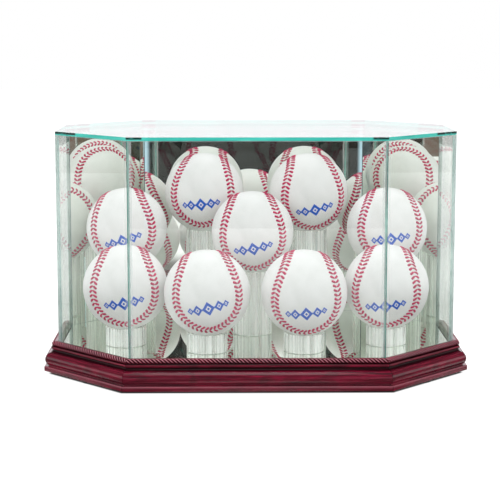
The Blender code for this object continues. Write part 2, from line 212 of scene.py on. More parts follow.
class Graph:
    """A material or world tree with short calls for its nodes."""

    def __init__(self, tree):
        self.tree = tree
        tree.nodes.clear()

    def node(self, kind, inputs=(), **settings):
        made = self.tree.nodes.new("ShaderNode" + kind)
        for name, value in settings.items():
            setattr(made, name, value)
        for key, value in dict(inputs).items():
            self.feed(made.inputs[key], value)
        return made

    def feed(self, socket, value):
        if isinstance(value, bpy.types.NodeSocket):
            self.tree.links.new(value, socket)
        else:
            socket.default_value = value

    def math(self, operation, *values):
        made = self.node("Math", operation=operation)
        for socket, value in zip(made.inputs, values):
            self.feed(socket, value)
        return made.outputs[0]

    def times(self, value, *others):
        for other in others:
            value = self.math("MULTIPLY", value, other)
        return value

    def shared(self, first, share, second):
        """This share of the first value and the rest of the second."""
        return self.math("ADD", self.times(first, share), self.times(second, 1.0 - share))

    def spread(self, value, low, high, start=0.0):
        """From low, where the value is at the start, to high, where it is 1."""
        inputs = {"Value": value, "From Min": start, "To Min": low, "To Max": high}
        return self.node("MapRange", inputs).outputs[0]

    def dot(self, vector, direction):
        made = self.node("VectorMath", {0: vector, 1: direction}, operation="DOT_PRODUCT")
        return made.outputs["Value"]

    def step(self, value, low, high):
        """0 below low and 1 above high, eased between; the other way round where high is less."""
        settings = {"Value": value, "From Min": low, "From Max": high}
        return self.node("MapRange", settings, interpolation_type="SMOOTHSTEP").outputs[0]

    def ramp(self, value, *stops):
        made = self.node("ValToRGB", {0: value})
        elements = made.color_ramp.elements
        while len(elements) < len(stops):
            elements.new(0.5)
        for element, (place, colour) in zip(elements, stops):
            element.position = place
            element.color = (*colour, 1)
        return made.outputs[0]

    def blend(self, factor, first, second):
        made = self.node("MixRGB", {0: factor})
        for socket, value in zip(made.inputs[1:], (first, second)):
            self.feed(socket, (*value, 1) if isinstance(value, tuple) else value)
        return made.outputs[0]

    def mix(self, factor, first, second):
        return self.node("MixShader", {0: factor, 1: first, 2: second}).outputs[0]

    def noise(self, vector, scale, detail=2.0, roughness=0.5, distortion=0.0):
        inputs = {"Vector": vector, "Scale": scale, "Detail": detail, "Roughness": roughness}
        inputs["Distortion"] = distortion
        return self.node("TexNoise", inputs).outputs[0]

    def here(self, scale=None):
        """Object coordinates, stretched if asked."""
        spot = self.node("TexCoord").outputs["Object"]
        if scale is None:
            return spot
        return self.node("VectorMath", {0: spot, 1: scale}, operation="MULTIPLY").outputs[0]

    def axes(self, vector):
        return self.node("SeparateXYZ", {0: vector}).outputs

    def bump(self, height, strength, distance):
        inputs = {"Height": height, "Strength": strength, "Distance": distance}
        return self.node("Bump", inputs).outputs[0]

    def principled(self, **inputs):
        named = {key.replace("_", " ").title().replace("Ior", "IOR"): value for key, value in inputs.items()}
        if isinstance(named.get("Base Color"), tuple):
            named["Base Color"] = (*named["Base Color"], 1)
        return self.node("BsdfPrincipled", named).outputs[0]

    def any_ray(self, *kinds):
        path = self.node("LightPath")
        found = path.outputs[kinds[0]]
        for kind in kinds[1:]:
            found = self.math("MAXIMUM", found, path.outputs[kind])
        return found

    def in_gloss(self):
        """1 where a glossy face or a mirror is looked into, 0 for light on its way to a matt face."""
        path = self.node("LightPath")
        straight = self.math("LESS_THAN", path.outputs["Diffuse Depth"], 0.5)
        return self.math("MULTIPLY", path.outputs["Is Glossy Ray"], straight)

    def finish(self, surface, target="OutputMaterial"):
        out = self.node(target)
        self.tree.links.new(surface, out.inputs["Surface"])


def material(name):
    made = bpy.data.materials.new(name)
    made.use_nodes = True
    return made, Graph(made.node_tree)


def cherry_wood():
    """Glossy cherry stain: fine grain along the length over a soft mottle, under clear lacquer.
    Painted shade lies in the recesses and the rope's valleys (values above 0), where the lacquer is thinner;
    painted highlights lie on the rope's crowns and the step's edge, and a painted reflection on the torus's
    foot (values below 0)."""
    made, g = material("cherry_wood")
    fine = g.noise(g.here((14, 260, 260)), 3.0, 6.0, 0.6, 0.4)
    broad = g.noise(g.here((5, 34, 34)), 2.0, 3.0, 0.55, 0.8)
    pores = g.noise(g.here((60, 1500, 1500)), 1.0, 2.0)
    grain = g.shared(fine, 0.6, broad)
    deep, middle, bright = (0.060, 0.0036, 0.0115), (0.155, 0.0060, 0.0225), (0.300, 0.0090, 0.0410)
    stain = g.ramp(grain, (0.38, deep), (0.50, middle), (0.62, bright))
    colour = g.blend(g.times(g.step(pores, 0.60, 0.72), 0.45), stain, (0.030, 0.002, 0.004))
    figure = g.noise(g.here((30, 75, 75)), 1.0, 2.0, 0.5, 0.5)
    colour = g.blend(g.times(g.step(figure, 0.47, 0.60), 0.55), colour, (0.052, 0.0075, 0.0130))
    painted_amount = g.node("Attribute", attribute_name="painted_light").outputs["Fac"]
    # Painted shade in the recesses and the rope's valleys
    colour = g.blend(g.times(g.step(painted_amount, 0.0, 1.0), 0.94), colour, (0.012, 0.0012, 0.0024))
    # Painted highlight on the rope's crowns and the step's edge, and painted reflection on the torus's foot
    colour = g.blend(g.step(painted_amount, -0.2, -1.0), colour, (0.60, 0.230, 0.285))
    shader = g.principled(
        base_color=colour,
        roughness=g.spread(fine, 0.26, 0.42),
        specular_ior_level=0.0,
        normal=g.bump(g.math("ADD", fine, g.times(pores, 0.3)), 0.06, 0.0004),
        # Less lacquer where the shade is painted
        coat_weight=g.math("MULTIPLY_ADD", g.step(painted_amount, 0.1, 0.9), -0.65, 1.0),
        coat_roughness=0.15,
        coat_ior=1.5,
    )
    g.finish(shader)
    return made


def leather():
    """White cowhide with a fine grain, and a small printed band of lozenges below the middle."""
    made, g = material("ball_leather")
    spot = g.here()
    up = Vector((0, -math.sin(BAND_DROP), math.cos(BAND_DROP)))
    right = Vector((1, 0, 0))
    along_band = right * math.cos(BAND_TILT) + up * math.sin(BAND_TILT)
    across = g.math("ABSOLUTE", g.dot(spot, along_band))
    height = g.math("ABSOLUTE", g.dot(spot, up * math.cos(BAND_TILT) - right * math.sin(BAND_TILT)))
    facing = g.step(g.dot(spot, Vector((0, -math.cos(BAND_DROP), -math.sin(BAND_DROP)))), 0.010, 0.012)
    ink = g.times(g.step(height, *BAND_HALF_HEIGHT), g.step(across, *BAND_HALF_LENGTH))
    for centre, half_width, half_height in LOZENGES:
        side = g.math("ABSOLUTE", g.math("SUBTRACT", across, centre * MM))
        upright = g.math("DIVIDE", height, half_height * MM)
        reach = g.math("ADD", g.math("DIVIDE", side, half_width * MM), upright)
        inside = g.step(reach, 1.02, 0.96)
        ring = g.times(inside, g.step(reach, 0.42, 0.48))
        core = g.step(reach, 0.25, 0.19)
        clear = g.math("SUBTRACT", 1.0, inside)
        ink = g.math("MAXIMUM", g.times(ink, clear), g.math("MAXIMUM", ring, core))
    worn = g.noise(spot, 900.0, 3.0, 0.6)
    ink = g.times(ink, facing, g.spread(worn, 0.90, 1.1))
    mottle = g.noise(spot, 60.0, 4.0, 0.55)
    dull, middle, bright = (0.815, 0.822, 0.805), (0.870, 0.875, 0.862), (0.895, 0.898, 0.888)
    white = g.ramp(mottle, (0.30, dull), (0.55, middle), (0.75, bright))
    grain = g.node("TexVoronoi", {"Vector": spot, "Scale": 1500.0}, feature="DISTANCE_TO_EDGE").outputs[0]
    shader = g.principled(
        base_color=g.blend(ink, white, (0.003, 0.105, 0.60)),
        roughness=g.spread(mottle, 0.40, 0.54),
        normal=g.bump(g.math("MINIMUM", grain, 0.12), 0.22, 0.00025),
        coat_weight=0.05,
        coat_roughness=0.35,
    )
    g.finish(shader)
    return made


def red_thread():
    """Waxed cotton thread, darker in its twist."""
    made, g = material("red_thread")
    twist = g.noise(g.here(), 2600.0, 2.0)
    fade = g.noise(g.here(), 160.0, 2.0)
    deep, middle, bright = (0.36, 0.006, 0.052), (0.60, 0.012, 0.105), (0.72, 0.030, 0.160)
    shader = g.principled(
        base_color=g.ramp(g.shared(twist, 0.6, fade), (0.34, deep), (0.52, middle), (0.70, bright)),
        roughness=0.55,
        normal=g.bump(twist, 0.5, 0.0002),
        sheen_weight=0.25,
        sheen_roughness=0.4,
    )
    g.finish(shader)
    return made


def schlick(g, head_on, most):
    """Share that a clear surface mirrors, from head on to grazing, alike on both of its sides."""
    facing = g.node("LayerWeight", {"Blend": 0.5}).outputs["Facing"]
    rise = g.math("POWER", facing, 5.0)
    return g.math("MINIMUM", g.math("MULTIPLY_ADD", rise, 1.0 - head_on, head_on), most)


def clear_glass(name, tint, haze=0.0, most=0.42):
    """Thin pane: clear with a faint tint, mirroring by angle, with a trace of wiping marks. Haze pales it."""
    made, g = material(name)
    wipe = g.noise(g.here((9, 9, 3)), 2.0, 3.0, 0.6, 1.2)
    smear = g.spread(wipe, 0.0, 0.05, 0.45)
    clear = g.node("BsdfTransparent", {"Color": (*tint, 1)}).outputs[0]
    if haze:
        pale = g.principled(base_color=(0.80, 0.82, 0.82), roughness=0.35)
        clear = g.mix(haze, clear, pale)
    shine = g.node("BsdfGlossy", {"Color": (0.99, 1.0, 0.995, 1), "Roughness": smear}).outputs[0]
    g.finish(g.mix(schlick(g, 0.035, most), clear, shine))
    return made


def cut_edge():
    """Ground edge of float glass: teal, with darker and paler runs, and painted dark reflections near its
    ends where it mirrors inside.
    """
    made, g = material("glass_cut_edge")
    spot = g.here()
    x, y, z = (g.math("ABSOLUTE", axis) for axis in g.axes(spot))
    # Painted dark reflection near the ends of the edge
    front_dash = g.times(g.step(x, *FRONT_DASH[0]), g.step(x, *FRONT_DASH[1]))
    side_dash = g.times(g.step(x, *SIDE_DASH[0]), g.step(y, *SIDE_DASH[1]))
    ends = g.math("MAXIMUM", front_dash, side_dash)
    patch = g.noise(g.here((170, 170, 700)), 1.0, 3.0)
    upper = g.step(z, *(hood_high.z - depth for depth in DASH_DEPTH))
    dark = g.times(ends, upper, g.step(patch, 0.30, 0.42))
    wave = g.noise(g.here((22, 22, 160)), 1.0, 3.0, 0.6)
    teal = g.ramp(wave, (0.30, (0.032, 0.47, 0.395)), (0.55, (0.072, 0.67, 0.56)), (0.75, (0.20, 0.82, 0.71)))
    colour = g.blend(dark, teal, (0.004, 0.050, 0.042))
    g.finish(g.principled(base_color=colour, roughness=0.22, coat_weight=0.5, coat_roughness=0.05))
    return made


def mitre_edge(name, dark, middle, light, clearness):
    """Ground mitre of an upright pane, seen as a thin green line."""
    made, g = material(name)
    run = g.noise(g.here((60, 60, 26)), 1.0, 4.0, 0.6, 0.6)
    green = g.ramp(run, (0.34, dark), (0.52, middle), (0.70, light))
    solid = g.principled(base_color=green, roughness=0.2, coat_weight=0.5, coat_roughness=0.05)
    clear = g.node("BsdfTransparent", {"Color": (0.88, 0.97, 0.94, 1)}).outputs[0]
    g.finish(g.mix(clearness, solid, clear))
    return made


def mirror_glass():
    """Silvered face behind slightly green glass, with the least trace of haze."""
    made, g = material("mirror_glass")
    haze = g.noise(g.here((7, 7, 7)), 2.0, 4.0, 0.6, 0.8)
    tint = g.ramp(haze, (0.30, (0.910, 0.945, 0.898)), (0.70, (0.930, 0.962, 0.918)))
    g.finish(g.principled(base_color=tint, metallic=1.0, roughness=g.spread(haze, 0.0, 0.02, 0.4)))
    return made


def mirror_back():
    """Grey protective paint on the back of a mirror, with a fine orange peel."""
    made, g = material("mirror_back_paint")
    speck = g.noise(g.here(), 900.0, 3.0, 0.7)
    cloud = g.noise(g.here(), 18.0, 3.0)
    shade = g.shared(speck, 0.35, cloud)
    colour = g.ramp(shade, (0.32, (0.150, 0.155, 0.160)), (0.68, (0.215, 0.220, 0.225)))
    g.finish(g.principled(base_color=colour, roughness=0.55, normal=g.bump(speck, 0.25, 0.0002)))
    return made


def clear_acrylic():
    """Tube wall: clear and refracting, with a painted pale reflection all over that is stronger in streaks
    drawn out along its length and full at the rim where it turns away. Light on its way to other faces goes
    straight through."""
    made, g = material("clear_acrylic")
    draw = g.noise(g.here((260, 260, 3)), 1.0, 3.0, 0.6)
    rough = g.spread(draw, 0.0, 0.03, 0.4)
    clean = g.principled(base_color=(0.99, 1.0, 0.993), roughness=rough, ior=1.49, transmission_weight=1.0)
    # Painted reflection: a pale matt share, more in the streaks and full at the rim
    pale_reflection = g.principled(base_color=(0.96, 0.995, 0.96), roughness=0.4)
    reflection_share = g.math("MULTIPLY_ADD", g.step(draw, 0.44, 0.58), 0.64, 0.18)
    rim_reflection = g.step(g.node("LayerWeight", {"Blend": 0.5}).outputs["Facing"], 0.66, 0.90)
    reflection_share = g.math("MAXIMUM", reflection_share, rim_reflection)
    solid = g.mix(reflection_share, clean, pale_reflection)
    clear = g.node("BsdfTransparent", {"Color": (0.975, 0.99, 0.98, 1)}).outputs[0]
    g.finish(g.mix(g.any_ray("Is Shadow Ray", "Is Diffuse Ray"), solid, clear))
    return made


def fibreboard():
    made, g = material("fibreboard")
    fibre = g.noise(g.here((300, 300, 1200)), 2.0, 6.0, 0.7, 0.6)
    cloud = g.noise(g.here(), 24.0, 2.0)
    shade = g.shared(fibre, 0.7, cloud)
    colour = g.ramp(shade, (0.35, (0.115, 0.062, 0.030)), (0.65, (0.235, 0.140, 0.078)))
    g.finish(g.principled(base_color=colour, roughness=0.85, normal=g.bump(fibre, 0.4, 0.0003)))
    return made


def black_felt():
    made, g = material("black_felt")
    nap = g.noise(g.here(), 2400.0, 4.0, 0.8)
    colour = g.ramp(nap, (0.35, (0.008, 0.008, 0.009)), (0.70, (0.045, 0.045, 0.048)))
    shader = g.principled(
        base_color=colour,
        roughness=0.97,
        sheen_weight=0.5,
        sheen_roughness=0.5,
        normal=g.bump(nap, 0.8, 0.0004),
    )
    g.finish(shader)
    return made


def table_top():
    """White table: it shows as white, but for the shadow under the foot. In gloss it is pale at the foot, dim
    round about and pale again further out."""
    made, g = material("table_top")
    tone = g.noise(g.here(), 3.0, 2.0)
    white = g.ramp(tone, (0.0, (0.29, 0.29, 0.29)), (1.0, (0.31, 0.31, 0.31)))
    lit = g.node("BsdfDiffuse", {"Color": white}).outputs[0]
    aside, ahead, _ = g.axes(g.here())
    aside, ahead = g.math("ABSOLUTE", aside), g.math("ABSOLUTE", ahead)
    out = g.math("MAXIMUM", g.math("SUBTRACT", aside, HALF_LENGTH), g.math("SUBTRACT", ahead, HALF_DEPTH))
    _, slant = face_axes(3)
    reach = g.math("ADD", g.times(aside, slant.x), g.times(ahead, slant.y))
    out = g.math("MAXIMUM", out, g.math("SUBTRACT", reach, hood_corners()[3].dot(slant) + SLANT_FURTHER))
    glow = g.node("Emission", {"Strength": g.times(g.step(out, *OPEN_TABLE), 0.95)}).outputs[0]
    seen = g.node("AddShader", {0: lit, 1: glow}).outputs[0]
    x, y, _ = g.axes(g.here((1 / FOOT_HALF[0], 1 / FOOT_HALF[1], 1)))
    away = g.math("SQRT", g.math("ADD", g.times(x, x), g.times(y, y)))
    ring = g.times(g.step(away, *DIM_RING[0]), g.step(away, *DIM_RING[1]))
    thrown = g.blend(ring, (0.95, 0.95, 0.94), (0.13, 0.12, 0.11))
    pale = g.blend(g.in_gloss(), (0.40, 0.40, 0.39), thrown)
    plain = g.node("BsdfDiffuse", {"Color": pale}).outputs[0]
    g.finish(g.mix(g.any_ray("Is Camera Ray", "Is Transmission Ray"), plain, seen))
    return made


def set_world():
    """White to the eye all round. Matt faces are lit by the studio's pale walls, and evenly where a mirror
    throws that light on. Gloss also shows the room's cooler front, with a dark opening for the camera, brown
    beyond the ends of the table, and a dark doorway."""
    world = bpy.data.worlds.new("studio")
    bpy.context.scene.world = world
    world.use_nodes = True
    g = Graph(world.node_tree)
    way = g.node("TexCoord").outputs["Generated"]
    x, y, z = g.axes(way)
    beside = g.math("ABSOLUTE", x)
    streaks = g.noise(g.node("VectorMath", {0: way, 1: (9, 9, 2)}, operation="MULTIPLY").outputs[0], 1.0, 3.0)
    black, dark, grey = (0.009, 0.010, 0.010), (0.021, 0.021, 0.021), (0.044, 0.047, 0.047)
    dim = g.ramp(streaks, (0.30, black), (0.55, dark), (0.75, grey))
    aside = g.math("DIVIDE", x, g.math("MAXIMUM", g.times(y, -1.0), 0.001))
    ahead = g.step(y, -0.02, -0.10)
    opening = g.times(g.step(aside, *OPENING_LEFT), g.step(aside, *OPENING_RIGHT), ahead)
    opening = g.times(opening, g.step(z, 0.45, 0.35))
    upper = g.blend(g.step(y, -0.13, -0.08), (0.07, 0.07, 0.07), (1.10, 1.10, 1.10))
    sides = g.blend(g.step(z, -0.02, 0.08), (1.10, 1.10, 1.10), upper)
    cool = g.blend(g.step(beside, 0.15, 0.60), (0.53, 0.74, 0.86), sides)
    doorway = g.times(g.step(aside, *DOORWAY_NEAR), g.step(aside, *DOORWAY_FAR), ahead)
    beyond = g.math("MAXIMUM", g.step(aside, *STRIP_LEFT), g.step(aside, *STRIP_RIGHT))
    low_down = g.step(z, *LOW_DOWN)
    room = g.blend(g.times(beyond, low_down), cool, (0.170, 0.128, 0.105))
    room = g.blend(g.times(doorway, low_down), room, (0.022, 0.034, 0.026))
    behind = g.times(g.step(y, 0.10, 0.30), g.step(beside, 0.34, 0.22))
    room = g.blend(behind, room, (1.17, 1.12, 1.15))
    room = g.blend(g.step(z, 0.24, 0.36), room, (0.08, 0.08, 0.08))
    room = g.blend(opening, room, dim)
    soft = g.blend(g.step(beside, 0.15, 0.60), (0.80, 0.82, 0.83), (1.56, 1.56, 1.56))
    soft = g.blend(g.step(y, 0.10, 0.30), soft, (1.45, 1.45, 1.46))
    soft = g.blend(g.step(z, 0.70, 0.95), soft, (0.36, 0.36, 0.36))
    soft = g.blend(g.any_ray("Is Glossy Ray"), soft, (1.68, 1.68, 1.68))
    lit = g.blend(g.in_gloss(), soft, room)
    studio = g.node("Background", {"Color": lit, "Strength": 1.0}).outputs[0]
    white = g.node("Background", {"Color": (1, 1, 1, 1), "Strength": 1.0}).outputs[0]
    g.finish(g.mix(g.any_ray("Is Camera Ray", "Is Transmission Ray"), studio, white), "OutputWorld")


def new_object(name, mesh, materials, location=(0, 0, 0), turn=0.0):
    piece = bpy.data.objects.new(name, mesh)
    bpy.context.scene.collection.objects.link(piece)
    piece.location = location
    piece.rotation_euler.z = turn
    if not mesh.materials:
        for each in materials:
            mesh.materials.append(each)
    return piece


def to_mesh(bm, name):
    bmesh.ops.recalc_face_normals(bm, faces=bm.faces[:])
    mesh = bpy.data.meshes.new(name)
    bm.to_mesh(mesh)
    bm.free()
    return mesh


def hood_corners():
    """Corners of the hood's outline, from the left end of the front round by the right."""
    right = [
        Vector((FRONT_HALF, -HALF_DEPTH)),
        Vector((HALF_LENGTH, -SIDE_HALF)),
        Vector((HALF_LENGTH, SIDE_HALF)),
        Vector((FRONT_HALF, HALF_DEPTH)),
    ]
    left = [-point for point in right]
    return [left[3], *right, *left[:3]]


def face_axes(k):
    """Directions along face k and out from it."""
    corners = hood_corners()
    along = (corners[(k + 1) % 8] - corners[k]).normalized()
    return along, Vector((along.y, -along.x))


def corner(k, out):
    """Corner k of the hood's outline, with both of its faces moved out this far."""
    _, before = face_axes((k - 1) % 8)
    _, after = face_axes(k % 8)
    return hood_corners()[k % 8] + (before + after) * (out / (1 + before.dot(after)))


def face_frame(k):
    """Middle of face k on the glass line, and its turn, for pieces made with X along the face."""
    along, _ = face_axes(k)
    middle = (corner(k, 0) + corner(k + 1, 0)) / 2
    return middle, math.atan2(along.y, along.x)


def face_ends(k, out):
    """Where a strip this far out on face k starts and ends along X, half a gap short of each mitre."""
    along, _ = face_axes(k)
    middle, _ = face_frame(k)
    spots = []
    for end in (k, k + 1):
        line = (corner(end, PANE) - corner(end, 0)).normalized()
        trim = GAP / 2 / abs(along.x * -line.y + along.y * line.x)
        spots.append((corner(end, out) - middle).dot(along) + (trim if end == k else -trim))
    return spots


def sharp_edges(bm, angle):
    found = []
    for edge in bm.edges:
        if len(edge.link_faces) == 2 and edge.calc_face_angle() > angle:
            found.append(edge)
    return found


def arrised_prism(outline, low, high):
    """Upright solid on a plan outline, its sharp edges taken off by a small arris."""
    bm = bmesh.new()
    bottom = [bm.verts.new((x, y, low)) for x, y in outline]
    top = [bm.verts.new((x, y, high)) for x, y in outline]
    bm.faces.new(bottom[::-1])
    bm.faces.new(top)
    for i in range(len(outline)):
        j = (i + 1) % len(outline)
        bm.faces.new((bottom[i], bottom[j], top[j], top[i]))
    bmesh.ops.recalc_face_normals(bm, faces=bm.faces[:])
    edges = sharp_edges(bm, ARRIS_SHARP)
    bmesh.ops.bevel(bm, geom=edges, offset=ARRIS, segments=1, affect="EDGES")
    return bm


def add_panes(materials):
    """Upright panes: clear ones in glass, the three at the back silvered inside and painted outside."""
    glass, strip, pale_mitre, deep_mitre, silver, paint = materials
    for k, face in enumerate(FACES):
        mirrored = face in MIRRORED
        node = ("mirror_" if mirrored else "glass_") + face
        low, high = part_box(node)
        (start_in, end_in), (start_out, end_out) = face_ends(k, -PANE), face_ends(k, 0)
        outline = [(start_in, PANE), (end_in, PANE), (end_out, 0), (start_out, 0)]
        if not mirrored:
            near, far = start_in + END_STRIP, end_in - END_STRIP
            inside = [(start_in, PANE), (near, PANE), (far, PANE), (end_in, PANE)]
            outline = inside + [(end_out, 0), (far, 0), (near, 0), (start_out, 0)]
        bm = arrised_prism(outline, low.z, high.z)
        for poly in bm.faces:
            flat = abs(poly.normal.y) > 0.999
            if mirrored:
                poly.material_index = (1 if poly.normal.y > 0 else 2) if flat else 0
            else:
                middle_x = poly.calc_center_median().x
                ended = abs(middle_x) > (end_in - END_STRIP)
                at_front = (k + (middle_x > 0)) % 8 in (0, 1) and abs(poly.normal.z) < 0.5
                poly.material_index = (1 if ended else 2) if flat else (3 if at_front else 0)
        mesh = to_mesh(bm, node)
        middle, turn = face_frame(k)
        kinds = (pale_mitre, silver, paint) if mirrored else (pale_mitre, strip, glass, deep_mitre)
        name = ("mirror_pane_" if mirrored else "clear_pane_") + face
        piece = new_object(name, mesh, kinds, (*middle, 0), turn)
        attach(piece, "hood")
        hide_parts(node)


def add_top(glass, edge):
    bm = arrised_prism([tuple(point) for point in hood_corners()], hood_low.z, hood_high.z)
    for poly in bm.faces:
        poly.material_index = 0 if abs(poly.normal.z) > 0.999 else 1
    piece = new_object("top_pane", to_mesh(bm, "top_pane"), (glass, edge))
    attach(piece, "hood")
    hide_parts("glass_top")


def add_floor_mirror(silver, pale_mitre, paint):
    low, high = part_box("floor_mirror")
    outline = [tuple(corner(k, -PANE - GAP)) for k in range(8)]
    bm = arrised_prism(outline, low.z, high.z)
    for poly in bm.faces:
        poly.material_index = (1 if poly.normal.z > 0 else 2) if abs(poly.normal.z) > 0.999 else 0
    piece = new_object("floor_mirror_pane", to_mesh(bm, "floor_mirror_pane"), (pale_mitre, silver, paint))
    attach(piece, "base")
    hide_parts("floor_mirror")


def arc(centre, radii, start, end, steps):
    points = []
    for i in range(steps + 1):
        angle = math.radians(start + (end - start) * i / steps)
        points.append((centre[0] + radii[0] * math.cos(angle), centre[1] + radii[1] * math.sin(angle)))
    return points


def moulding_profile():
    """Section as (out from the glass, height above the table), from the lip down and round."""
    seat = ROPE_OUT - ROPE_DIAMETER / 2
    bead = BEAD_HEIGHT / 2
    bead_root = BEAD_OUT - bead
    torus = TORUS_HEIGHT / 2
    points = [(GAP, LIP_TOP)]
    points += arc((seat - LIP_ROUND, LIP_TOP - LIP_ROUND), (LIP_ROUND, LIP_ROUND), 90, 0, 4)
    points += [(seat, BEAD_TOP)]
    points += arc((bead_root, BEAD_TOP - bead), (bead, bead), 90, -90, 14)
    points += arc((bead_root + COVE_RADIUS, COVE_TOP), (COVE_RADIUS, COVE_RADIUS), 180, 258, 10)[1:]
    points += arc((TORUS_ROOT, STEP_TOP + torus), (TORUS_OUT - TORUS_ROOT, torus), 66, -62, 28)
    points += [(points[-1][0], STEP_TOP)]
    points += arc((STEP_OUT - STEP_ROUND, STEP_TOP - STEP_ROUND), (STEP_ROUND, STEP_ROUND), 90, 0, 4)
    points += arc((STEP_OUT - STEP_ROUND, BASE_BOTTOM + STEP_ROUND), (STEP_ROUND, STEP_ROUND), 0, -90, 4)
    points += [(-LEDGE_WIDTH, BASE_BOTTOM), (-LEDGE_WIDTH, LEDGE_TOP), (GAP, LEDGE_TOP)]
    return points


def painted_light_at(out, up):
    """Painted shade at a point of the section: most in the corners between its members, and less than nothing
    where a painted reflection lies on the torus's foot and a painted highlight on the step's edge."""
    nearest = min(math.hypot(out - x, up - z) for x, z in PAINTED_SHADE_CORNERS)
    painted_amount = min(1.0, max(0.0, 1.6 * (1.0 - nearest / PAINTED_SHADE_REACH)))
    foot = FOOT_REFLECTION_HEIGHTS[0] < up < FOOT_REFLECTION_HEIGHTS[1]
    edge = out > STEP_OUT - EDGE_HIGHLIGHT_REACH and up > STEP_TOP - EDGE_HIGHLIGHT_REACH
    return painted_amount - (FOOT_REFLECTION_PALE if foot else EDGE_HIGHLIGHT_PALE if edge else 0.0)


def add_rope(bm, k, wide=36, per_pitch=8):
    """Carved rope: four round strands with sharp valleys, wound along the lip and cut at both mitres."""
    radius = ROPE_DIAMETER / 2
    centre = Vector((0, radius - ROPE_OUT, LIP_TOP - radius))
    start, end = face_ends(k, ROPE_OUT)
    count = math.ceil((end - start) / ROPE_PITCH * per_pitch)
    rope = bmesh.new()
    painted_light = rope.verts.layers.float.new("painted_light")
    rings = []
    for i in range(count + 1):
        x = start + (end - start) * i / count
        ring = []
        for side in range(wide):
            angle = 2 * math.pi * side / wide
            strand = (angle * ROPE_STRANDS / (2 * math.pi) - x / ROPE_PITCH) % 1
            crown = math.sin(math.pi * strand) ** 0.8
            swell = 0.55 + 0.45 * crown
            offset = Vector((x, radius * swell * math.cos(angle), radius * swell * math.sin(angle)))
            vert = rope.verts.new(centre + offset)
            # Painted shade in the valleys and under the rope, painted highlight on the crowns of the strands
            under = max(0.0, 0.1 - math.sin(angle))
            vert[painted_light] = min(1.0, 4.0 - 5.0 * crown + 0.8 * under)
            ring.append(vert)
        rings.append(ring)
    for first, second in zip(rings, rings[1:]):
        for side in range(wide):
            after = (side + 1) % wide
            rope.faces.new((first[side], first[after], second[after], second[side]))
    rope.faces.new(rings[0][::-1])
    rope.faces.new(rings[-1])
    for away in (-1, 1):
        near, far = face_ends(k, 0)[away > 0], face_ends(k, STEP_OUT)[away > 0]
        line = Vector((far - near, -STEP_OUT, 0)).normalized()
        outward = Vector((-line.y, line.x, 0))
        outward *= away if outward.x > 0 else -away
        geom = rope.verts[:] + rope.edges[:] + rope.faces[:]
        cut = {"plane_co": (near, 0, 0), "plane_no": outward}
        found = bmesh.ops.bisect_plane(rope, geom=geom, clear_outer=True, **cut)
        edges = [item for item in found["geom_cut"] if isinstance(item, bmesh.types.BMEdge)]
        bmesh.ops.edgeloop_fill(rope, edges=edges)
    bmesh.ops.recalc_face_normals(rope, faces=rope.faces[:])
    mesh = bpy.data.meshes.new("rope")
    rope.to_mesh(mesh)
    rope.free()
    bm.from_mesh(mesh)
    bpy.data.meshes.remove(mesh)


def add_mouldings(wood):
    profile = moulding_profile()
    for k, face in enumerate(FACES):
        bm = bmesh.new()
        painted_light = bm.verts.layers.float.new("painted_light")
        rings = []
        for side in (0, 1):
            ring = []
            for out, up in profile:
                vert = bm.verts.new((face_ends(k, out)[side], -out, up))
                # Painted shade in the recesses, painted reflection on the torus's foot and painted highlight
                # on the step's edge
                vert[painted_light] = painted_light_at(out, up)
                ring.append(vert)
            rings.append(ring)
        for i in range(len(profile)):
            j = (i + 1) % len(profile)
            bm.faces.new((rings[0][i], rings[0][j], rings[1][j], rings[1][i]))
        bm.faces.new(rings[0][::-1])
        bm.faces.new(rings[1])
        bmesh.ops.recalc_face_normals(bm, faces=bm.faces[:])
        add_rope(bm, k)
        mesh = bpy.data.meshes.new("carved_moulding_" + face)
        bm.to_mesh(mesh)
        bm.free()
        mesh.shade_smooth()
        mesh.set_sharp_from_angle(angle=MOULDING_SHARP)
        middle, turn = face_frame(k)
        piece = new_object("carved_moulding_" + face, mesh, (wood,), (*middle, 0), turn)
        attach(piece, "base")
        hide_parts("moulding_" + face)


def lathe(section, steps):
    """Closed ring from a closed section of (radius, height)."""
    bm = bmesh.new()
    rings = []
    for i in range(steps):
        angle = 2 * math.pi * i / steps
        rings.append([bm.verts.new((r * math.cos(angle), r * math.sin(angle), z)) for r, z in section])
    for i in range(steps):
        first, second = rings[i], rings[(i + 1) % steps]
        for j in range(len(section)):
            after = (j + 1) % len(section)
            bm.faces.new((first[j], first[after], second[after], second[j]))
    return bm


def add_tubes(acrylic):
    for name in BALL_TURNS:
        node = "riser_" + name
        low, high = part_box(node)
        outer = (high.x - low.x) / 2
        inner = outer - TUBE_WALL
        tall = high.z - low.z
        section = []
        for r, z, start in ((outer, 0, 270), (outer, tall, 0), (inner, tall, 90), (inner, 0, 180)):
            into = (-RIM_ROUND if r == outer else RIM_ROUND, RIM_ROUND if z == 0 else -RIM_ROUND)
            section += arc((r + into[0], z + into[1]), (RIM_ROUND, RIM_ROUND), start, start + 90, 3)
        mesh = to_mesh(lathe(section, TUBE_SIDES), "tube")
        mesh.shade_smooth()
        mesh.set_sharp_from_angle(angle=TURNED_SHARP)
        spot = ((low.x + high.x) / 2, (low.y + high.y) / 2, low.z)
        piece = new_object("display_tube_" + name, mesh, (acrylic,), spot)
        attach(piece, "base")
        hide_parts(node)


def seam_direction(t):
    """Direction to a point of the seam, a closed curve that t runs through from 0 to 4 pi."""
    polar = math.pi / 2 - (math.pi / 2 - SEAM_ANGLE) * math.cos(t)
    around = t / 2 + SEAM_ANGLE * math.sin(2 * t)
    across = math.sin(polar)
    return Vector((across * math.cos(around), across * math.sin(around), math.cos(polar)))


